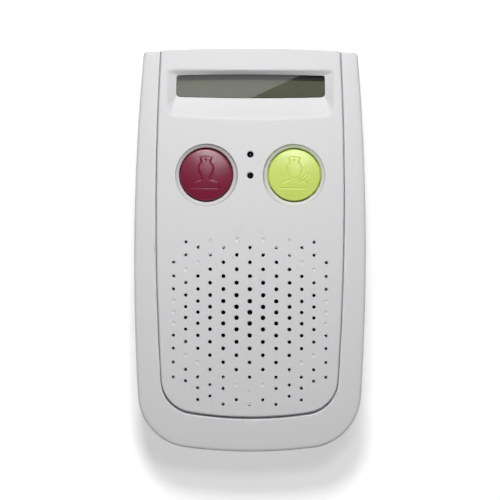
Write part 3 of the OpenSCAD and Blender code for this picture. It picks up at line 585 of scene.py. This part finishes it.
# Holes have the least radius from here outwards: the ninth row of the last column but one
grille_far = math.hypot(column_xs[5], row_drop(9))
keep_clear = [(-button_x, button_y, well_clear), (button_x, button_y, well_clear)]
keep_clear += [(0, y, port_clear) for y in port_ys]
holes = [well(-button_x, button_y), well(button_x, button_y)]
holes += [sunk(0, y, port_r, port_rings, port_points) for y in port_ys]
dimples = []
inner = []
for x, y in places:
    out = math.hypot(x, y - grille_y)
    r = hole_least_r + hole_more_r * max(0, 1 - out / grille_far) ** 1.3
    keep_clear.append((x, y, r + hole_clear))
    # The lowest place of the middle column is a hole in the photo, though the collar is behind it
    if collar_in < out < collar_out and (x or y > grille_y):
        dimples += sunk(x, y, r, dimple_rings, hole_points)
        inner.append((x, y, face_height(x, y) - dimple_deep))
    else:
        holes.append(sunk(x, y, r, hole_rings, hole_points))
holes.append([draped(inset(window_shape, -out), scoop, 0.6) for out in (0, 0.2)])
for x, y in grid(-fascia_half, fascia_half, fascia_low, fascia_high, face_step):
    if inside(fascia_shape, x, y, edge_clear) and away_from(x, y, keep_clear) \
            and not (abs(x) < scoop_half and scoop_low < y < scoop_high):
        inner.append((x, y, face_height(x, y)))
for x, y in grid(-scoop_half, scoop_half, scoop_low, scoop_high, scoop_step):
    if abs(x) <= scoop_half and not inside(window_shape, x, y, -window_clear) \
            and away_from(x, y, keep_clear[:2]):
        inner.append((x, y, scoop(x, y)))
rings = edge_rings(fascia_shape, fascia_edge_r, fascia_proud, True)
rings += [draped(inset(fascia_shape, d), scoop) for d in (0.8, 1.98, 2.04)]
points, faces = close_sheet(rings + dimples, inner, holes, fascia_back)
fascia = add_mesh("fascia_moulding", points, faces)
dress(fascia, case_abs)
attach(fascia, "unit")
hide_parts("fascia")

# The caps: burgundy to call, lime to answer. Each is a domed moulding in solid-coloured satin ABS with a
# nurse's figure sunk in its top as a fine line, and a flange under the fascia keeps it in its well. The
# figures are drawn in shares of the cap's radius, and only the lime one has the outlined tick.
flange_t = 1.2
flange_w = 1.5
flange_lap = 0.5
flange_gap = 0.3
flange_low = guide_low - flange_gap - flange_t
cap_edge_r = 0.6
cap_top_t = 2
cap_wall = 1.6
dome_r = 62
dome_z = button_face - dome_r
# A groove's depth, and how far its slopes reach out of its mark and into it
line_deep = 0.18
line_out = 0.26
line_in = 0.6
# Points along a line, rows of points beside it, and the plain mesh beyond them
line_step = 0.12
line_row = 0.09
line_rows = 7
dome_step = 0.8
dome_clear = 0.78
dome_edge_clear = 1.1
cap_points = 112
# The call cap sits a little off the middle of its well, outwards, as in the photo
off_middle = 0.12
hat = ((-0.24, 0.68), (0, 0.71), (0.24, 0.68))
hat_side = ((0.24, 0.68), (0.17, 0.48))
head = ((0.17, 0.48), (0.26, 0.39), (0.3, 0.28), (0.265, 0.1), (0.15, -0.1))
left_shoulder = ((0.15, -0.1), (0.18, -0.17), (0.33, -0.23), (0.48, -0.3), (0.55, -0.4), (0.58, -0.52))
right_shoulder = ((0.15, -0.1), (0.17, -0.17), (0.3, -0.22), (0.45, -0.27), (0.505, -0.36), (0.51, -0.52))
base = ((0.51, -0.52), (-0.58, -0.52))
left_side = [[(-x, y) for x, y in reversed(line)] for line in (left_shoulder, head, hat_side)]
figure = [hat, hat_side, head, right_shoulder, base] + left_side
cross = (((-0.05, 0.57), (0.05, 0.57)), ((0, 0.52), (0, 0.62)))
tick = ((0.11, -0.08), (0.22, -0.18), (0.5, 0.08), (0.58, 0.0), (0.23, -0.32), (0.03, -0.15))
tick_lines = [(tick[i - 1], tick[i]) for i in range(len(tick))]


def spline(points, step):
    """Points of a smooth curve through the given ones, a step apart."""
    p = [Vector(points[0])] + [Vector(q) for q in points] + [Vector(points[-1])]
    curve = []
    for i in range(1, len(p) - 2):
        before, start, end, after = p[i - 1:i + 3]
        count = max(2, int((end - start).length / step) + 1)
        for k in range(count):
            t = k / count
            curve.append(0.5 * (2 * start + (end - before) * t
                                + (2 * before - 5 * start + 4 * end - after) * t * t
                                + (3 * start - 3 * end + after - before) * t ** 3))
    return curve + [p[-1]]


def lathe(name, x, y, profile, count=96):
    """A ring solid turned about the axis at x, y from a closed profile of radii and heights."""
    n = len(profile)
    points = []
    for k in range(count):
        t = 2 * math.pi * k / count
        points += [stand(x + r * math.cos(t), y + r * math.sin(t), z) for r, z in profile]
    faces = [(k * n + i, k * n + (i + 1) % n, (k + 1) % count * n + (i + 1) % n, (k + 1) % count * n + i)
             for k in range(count) for i in range(n)]
    return add_mesh(name, points, faces)


def join(pieces):
    """One object out of several; the first keeps its name."""
    with bpy.context.temp_override(active_object=pieces[0], selected_editable_objects=pieces):
        bpy.ops.object.join()
    return pieces[0]


def within(ring, x, y):
    """Whether a place lies within a closed ring of points."""
    odd = False
    for p, q in zip(ring, ring[1:] + ring[:1]):
        if (p.y > y) != (q.y > y) and x < p.x + (q.x - p.x) * (y - p.y) / (q.y - p.y):
            odd = not odd
    return odd


def cap(name, x, marks):
    """A domed cap with its marks sunk in, and the flange round its foot. A mark is a list of lines: its
    groove is steep outside them, and inside it rises more gently to the face of the mark."""
    grooves = []
    rows = []
    for mark in marks:
        curves = [spline(line, line_step / cap_r) for line in mark]
        tree = kdtree.KDTree(sum(len(curve) * 4 for curve in curves))
        for curve in curves:
            for i, p in enumerate(curve):
                a, b = curve[max(i - 1, 0)], curve[min(i + 1, len(curve) - 1)]
                across = Vector((a.y - b.y, b.x - a.x)).normalized()
                rows += [p * cap_r + across * (line_row * k) for k in range(-line_rows, line_rows + 1)]
                for k in range(4):
                    tree.insert((p.lerp(b, k / 8) * cap_r).to_3d(), 0)
        tree.balance()
        grooves.append((tree, [p * cap_r for curve in curves for p in curve]))

    def from_middle(u, v):
        return math.hypot(u - x, v - button_y)

    def nearest(tree, u, v):
        return tree.find((u - x, v - button_y, 0))[2]

    def top(u, v):
        sunk_by = 0
        for tree, ring in grooves:
            d = nearest(tree, u, v)
            if d < line_in:
                wide = line_in if within(ring, u - x, v - button_y) else line_out
                sunk_by = max(sunk_by, line_deep * 0.5 * (1 + math.cos(math.pi * min(1, d / wide))))
        return dome_z + math.sqrt(dome_r ** 2 - (u - x) ** 2 - (v - button_y) ** 2) - sunk_by

    def back(u, v):
        return button_face - cap_top_t if from_middle(u, v) < cap_r - cap_wall - 0.02 else flange_low

    inner = [(x + p.x, button_y + p.y, top(x + p.x, button_y + p.y)) for p in rows]
    for u, v in grid(x - cap_r, x + cap_r, button_y - cap_r, button_y + cap_r, dome_step):
        if from_middle(u, v) < cap_r - dome_edge_clear \
                and all(nearest(tree, u, v) > dome_clear for tree, ring in grooves):
            inner.append((u, v, top(u, v)))
    edge_z = dome_z + math.sqrt(dome_r ** 2 - (cap_r - cap_edge_r) ** 2)
    rings = [circle(x, button_y, cap_r - cap_edge_r * (1 - math.cos(t)),
                    lambda u, v: edge_z - cap_edge_r * (1 - math.sin(t)), cap_points)
             for t in [math.pi / 2 * k / 6 for k in range(7)]]
    rings += [circle(x, button_y, cap_r - d, top, cap_points)
              for d in (cap_edge_r + 0.1, cap_wall, cap_wall + 0.05)]
    points, faces = close_sheet(rings, inner, [], back)
    flange_in, flange_out, flange_high = cap_r - flange_lap, cap_r + flange_w, flange_low + flange_t
    flange = [(flange_in, flange_low), (flange_out, flange_low), (flange_out, flange_high),
              (flange_in, flange_high)]
    return join([add_mesh(name, points, faces), lathe("flange", x, button_y, flange)])


call_marks = [figure] + [[line] for line in cross]
call_cap = cap("call_cap", -button_x - off_middle, call_marks)
answer_cap = cap("answer_cap", button_x, call_marks + [tick_lines])
for piece, body, node, slot, code in (
        (call_cap, "call_key", "call_button", "burgundy_plastic", "#7E1436"),
        (answer_cap, "answer_key", "answer_button", "lime_plastic", "#D5E873")):
    # ABS coloured all through, from a tool with a finer texture than the case's, so it shines a little more
    dress(piece, moulded("abs_" + slot.split("_")[0], code, 0.3, 0.25, 0.003))
    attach(piece, body)
    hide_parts(node)

# The display: a clear acrylic lens in the window, and behind it a grey-green liquid-crystal glass in a
# black bezel on a white backlight. All four keep the shapes of the CAD, and a black lip on the bezel paints
# the shade at the window's edges.
def maths(material, operation, a, b):
    """One operation on two outputs of nodes."""
    return add_node(material, "ShaderNodeMath", links={0: a, 1: b}, operation=operation).outputs[0]


def clear_acrylic():
    """Clear glossy sheet: light goes straight through, and its front face mirrors a little. It mirrors
    for the back face too, nearly twice its own share, and the back face lets all light out."""
    material = new_material("lens_acrylic")
    gloss = spread(material, 0.003, 0.008, patches(material, 9, 1))
    mirror = add_node(material, "ShaderNodeBsdfGlossy", {"Color": (1, 1, 1, 1)}, {"Roughness": gloss})
    through = add_node(material, "ShaderNodeBsdfTransparent", {"Color": (0.93, 0.94, 0.92, 1)})
    fresnel = add_node(material, "ShaderNodeFresnel", {"IOR": 1.49})
    side = add_node(material, "ShaderNodeNewGeometry")
    faces = spread(material, 1.9, 0, side.outputs["Backfacing"])
    share = maths(material, "MULTIPLY", fresnel.outputs["Fac"], faces)
    links = {0: share, 1: through.outputs["BSDF"], 2: mirror.outputs["BSDF"]}
    return show(material, add_node(material, "ShaderNodeMixShader", links=links))


def liquid_crystal():
    """Polarised glass: grey-green, a little uneven where its cell is thicker, with a satin front film."""
    material = new_material("lcd_polariser")
    colours = {"Color1": linear("#5B5C48"), "Color2": linear("#62634F")}
    tint = add_node(material, "ShaderNodeMixRGB", colours, {"Fac": patches(material, 30, 1)})
    return principled(material, {"Roughness": 0.6, "IOR": 1.5}, Base_Color=tint.outputs["Color"])


nodes = bpy.data.objects
dress(nodes["display_lens"], clear_acrylic())
dress(nodes["lcd_glass"], liquid_crystal())
# Black ABS of the bezel
bezel_abs = moulded("bezel_abs", "#09090B", 0.6, 0.3, 0.004)
dress(nodes["lcd_bezel"], bezel_abs)
# Its lip, a black band whose opening is a little smaller than the window, most of all above: painted shade
# for the dark line round the glass and for the shadow under the window's top edge
lip_w = 0.8
lip_t = 0.3
edge_shade_in = 0.35
top_shade_in = 1.7
lip_fine = 0.4
lip_z = -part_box("lcd_bezel")[0].y / MM
shade_lip = prism(inset(window_shape, -lip_w), lip_z - lip_t, lip_z, "bezel_lip", lip_fine)
opening_shape = inset(window_shape, edge_shade_in)
opening_shape = opening_shape._replace(high=opening_shape.high - top_shade_in)
cut(shade_lip, [prism(opening_shape, lip_z - 1, lip_z + 1, "lip_opening", lip_fine)])
# Black all over, as painted shade on the glass
dress(shade_lip, bezel_abs)
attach(shade_lip, "unit")
# White polystyrene light box
dress(nodes["backlight"], moulded("backlight_polystyrene", "#EDEDE8", 0.5, 0.4, 0.004))

# Behind the face: the wall plate, the board with its parts, switches and boots, and the loudspeaker. They
# keep the shapes of the CAD, apart from the two boots, and show through the ports, the grille and the
# cable entry.
def metal(name, code, roughness, brush_mm):
    """Bare metal whose brushing or plating varies its gloss."""
    drift = 0.07
    material = new_material(name)
    gloss = spread(material, roughness - drift, roughness + drift, patches(material, brush_mm, 3))
    return principled(material, {"Base Color": linear(code), "Metallic": 1}, Roughness=gloss)


def woven(name, code, thread_mm):
    """Cloth: two crossed waves for the threads, which stand out by a tenth of a millimetre."""
    turn = 6.283
    material = new_material(name)
    scale = {"Scale": 1 / (turn * thread_mm * MM)}
    waves = [add_node(material, "ShaderNodeTexWave", scale, on_piece(material), bands_direction=axis)
             for axis in ("X", "Z")]
    weave = maths(material, "MULTIPLY", waves[0].outputs["Fac"], waves[1].outputs["Fac"])
    return principled(material, {"Base Color": linear(code), "Roughness": 0.9},
                      Normal=raised(material, 0.1, weave))


def solder_mask():
    """Green lacquer over the board's copper tracks, which show as paler, raised lines 5 mm apart."""
    material = new_material("board_solder_mask")
    values = {"Scale": 1 / (5 * MM), "Mortar Size": 0.06, "Color1": linear("#1E5A34"),
              "Color2": linear("#226038"), "Mortar": linear("#34804C")}
    tracks = add_node(material, "ShaderNodeTexBrick", values, on_piece(material))
    return principled(material, {"Roughness": 0.3}, Base_Color=tracks.outputs["Color"],
                      Normal=raised(material, 0.04, tracks.outputs["Fac"]))


# The same ABS as the case
dress(nodes["wall_plate"], case_abs)
# Zinc-plated steel of screws, cans, basket and clips
zinc = metal("zinc_plated_steel", "#B4B8BC", 0.32, 0.4)
for name in ("security_screw", "fascia_screws", "board_screws", "clip_screws", "terminal_screws",
             "speaker_frame", "speaker_clips", "call_switch", "answer_switch"):
    dress(nodes[name], zinc)
# Brass of the insert, copper of the coil, sintered ferrite of the magnet, and aluminium cans
dress(nodes["thread_insert"], metal("insert_brass", "#C79A4A", 0.28, 0.4))
dress(nodes["voice_coil"], metal("coil_copper", "#B9623A", 0.35, 0.2))
dress(nodes["speaker_magnet"], metal("magnet_ferrite", "#4A4B4F", 0.6, 0.5))
dress(nodes["capacitors"], metal("capacitor_aluminium", "#9FA3A8", 0.4, 0.6))
# Glass-filled nylon, black, of connectors and plungers, and the chips' epoxy
nylon = moulded("black_nylon", "#1A1A1C", 0.5, 0.3, 0.005)
for name in ("link_socket", "link_header", "call_plunger", "answer_plunger", "processor_chip",
             "amplifier_chip"):
    dress(nodes[name], nylon)
# Green polyamide of the terminal block, and the board under its lacquer
dress(nodes["terminal_block"], moulded("terminal_polyamide", "#3C6E49", 0.45, 0.3, 0.005))
dress(nodes["main_board"], solder_mask())
# The receiver's dark cast resin, which passes infrared only
dress(nodes["ir_receiver"], moulded("receiver_resin", "#120D16", 0.12, 0.6, 0.001))
# Soft rubber of the microphone's boot and the cone's surround; the microphone's front is black felt
rubber = moulded("black_rubber", "#141415", 0.7, 0.4, 0.01, 1.52)
for name in ("mic_boot", "speaker_surround"):
    dress(nodes[name], rubber)
dress(nodes["microphone"], woven("microphone_felt", "#0E0E10", 0.2))
# Polyester cloth behind the grille, closed foam under the basket, and varnished linen of the spider
dress(nodes["grille_cloth"], woven("grille_cloth_polyester", "#09090A", 0.25))
dress(nodes["speaker_gasket"], moulded("gasket_foam", "#2C2C2E", 0.95, 0.5, 0.08))
dress(nodes["speaker_spider"], woven("spider_linen", "#BD9A58", 0.4))
# Pressed paper pulp of the cone
dress(nodes["speaker_cone"], moulded("cone_paper", "#1C1C1D", 0.85, 0.5, 0.05))

# Silicone of the boots: a foot on the board and a thin cone up to the plunger, which a press of the key
# squashes; here each boot stays a rigid part of the unit
board_z = -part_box("main_board")[0].y / MM
boot_high = -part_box("call_boot")[0].y / MM
boot_profile = [(7.4, board_z), (8, board_z), (8, board_z + 0.6), (7.2, board_z + 1.4),
                (5.2, boot_high - 1.2), (4.5, boot_high), (3.9, boot_high), (4.6, boot_high - 1.4),
                (6.6, board_z + 1.3), (7.4, board_z + 0.6)]
silicone = moulded("boot_silicone", "#D6D6D1", 0.6, 0.5, 0.004, 1.41)
for node, joint, x in (("call_boot", "call_press", -button_x), ("answer_boot", "answer_press", button_x)):
    boot = lathe(node + "_cone", x, button_y, boot_profile)
    dress(boot, silicone)
    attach(boot, "unit")
    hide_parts(node)
    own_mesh(boot)

# The stage: the unit on a white wall, lit softly from above and a little from the left. A lamp behind the
# wall lights the back, for the views that are taken from there.
white = (1, 1, 1, 1)


def paint(name, lift):
    """White matt paint. The camera also sees its own whiteness, up to lift, so that it stays white in soft
    light and still takes a shadow; from behind, and for light from behind, it is clear."""
    material = new_material(name)
    path = add_node(material, "ShaderNodeLightPath").outputs
    side = add_node(material, "ShaderNodeNewGeometry").outputs
    seen = maths(material, "MAXIMUM", path["Is Camera Ray"], path["Is Glossy Ray"])
    seen = maths(material, "MAXIMUM", seen, path["Is Transmission Ray"])
    glow = add_node(material, "ShaderNodeEmission", {"Color": white},
                    {"Strength": spread(material, 0, lift, seen)})
    matt = add_node(material, "ShaderNodeBsdfDiffuse", {"Color": linear("#F4F4F4")})
    front = add_node(material, "ShaderNodeAddShader", links={0: glow.outputs[0], 1: matt.outputs[0]})
    clear = add_node(material, "ShaderNodeBsdfTransparent", {"Color": white})
    opened = maths(material, "MAXIMUM", side["Backfacing"], path["Is Shadow Ray"])
    links = {0: opened, 1: front.outputs[0], 2: clear.outputs[0]}
    return show(material, add_node(material, "ShaderNodeMixShader", links=links))


# The wall starts half a millimetre behind the unit, and the floor is far enough below to show no edge
wall_y = 0.0005
floor_z = -1.1
reach = 2.5
wall_points = [(-reach, wall_y, floor_z), (reach, wall_y, floor_z), (reach, wall_y, reach),
               (-reach, wall_y, reach)]
floor_points = [(-reach, -reach, floor_z), (reach, -reach, floor_z), (reach, 0, floor_z),
                (-reach, 0, floor_z)]
stage_wall = add_mesh("stage_wall", wall_points, [(0, 1, 2, 3)])
stage_floor = add_mesh("stage_floor", floor_points, [(0, 1, 2, 3)])
for piece, lift in ((stage_wall, 0.45), (stage_floor, 0.3)):
    dress(piece, paint(piece.name + "_paint", lift))

# Little light from all round, and white where the camera looks past the stage
world = bpy.data.worlds.new("studio")
world.use_nodes = True
world.node_tree.nodes["Background"].inputs["Color"].default_value = white
world_path = add_node(world, "ShaderNodeLightPath")
world.node_tree.links.new(spread(world, 0.07, 1, world_path.outputs["Is Camera Ray"]),
                          world.node_tree.nodes["Background"].inputs["Strength"])
bpy.context.scene.world = world


def lamp(name, place, size, power):
    """A soft rectangular lamp at place, turned to the unit."""
    light = bpy.data.lights.new(name, "AREA")
    light.shape = "RECTANGLE"
    light.size, light.size_y = size
    light.energy = power
    holder = bpy.data.objects.new(name, light)
    bpy.context.scene.collection.objects.link(holder)
    holder.location = place
    holder.rotation_euler = (-Vector(place)).to_track_quat("-Z", "Y").to_euler()


lamp("key_softbox", (-0.035, -0.61, 0.365), (0.18, 0.17), 3.2)
lamp("front_softbox", (0.11, -0.98, 0.28), (0.22, 0.18), 1.7)
lamp("back_softbox", (0.35, 0.75, 0.45), (0.5, 0.5), 3.5)
# A white card above the camera, which the display's lens mirrors on its left: it's cut slanting below, its
# light fades towards its upper edge, and the camera itself never sees it
away = 3.0
card_left, card_right, card_high = -0.10, 0.135, 0.19
card_points = [(card_left, -away, 0.0785), (card_right, -away, 0.187), (card_right, -away, card_high),
               (card_left, -away, card_high)]
card = add_mesh("reflection_card", card_points, [(0, 3, 2, 1)])
card_glow = new_material("card_glow")
card_place = add_node(card_glow, "ShaderNodeSeparateXYZ", links=on_piece(card_glow))
fade_limits = {"From Min": 0.133, "From Max": 0.145, "To Min": 1.45, "To Max": 0.9}
card_fade = add_node(card_glow, "ShaderNodeMapRange", fade_limits, {"Value": card_place.outputs["Z"]})
dress(card, show(card_glow, add_node(card_glow, "ShaderNodeEmission", {"Color": white},
                                     {"Strength": card_fade.outputs["Result"]})))
card.visible_camera = False

bpy.context.scene.view_settings.view_transform = "Standard"
# The camera looks straight at the face from far off, turned a little like the photo's
view_width = 0.205
unit_depth = 0.031
camera_roll = math.radians(-0.2)
camera_data = bpy.data.cameras.new("camera")
camera = bpy.data.objects.new("camera", camera_data)
bpy.context.scene.collection.objects.link(camera)
bpy.context.scene.camera = camera
camera.location = (0, -away, 0)
camera.rotation_euler = (math.pi / 2, camera_roll, 0)
camera_data.lens = camera_data.sensor_width * (away - unit_depth) / view_width

bpy.context.view_layer.update()
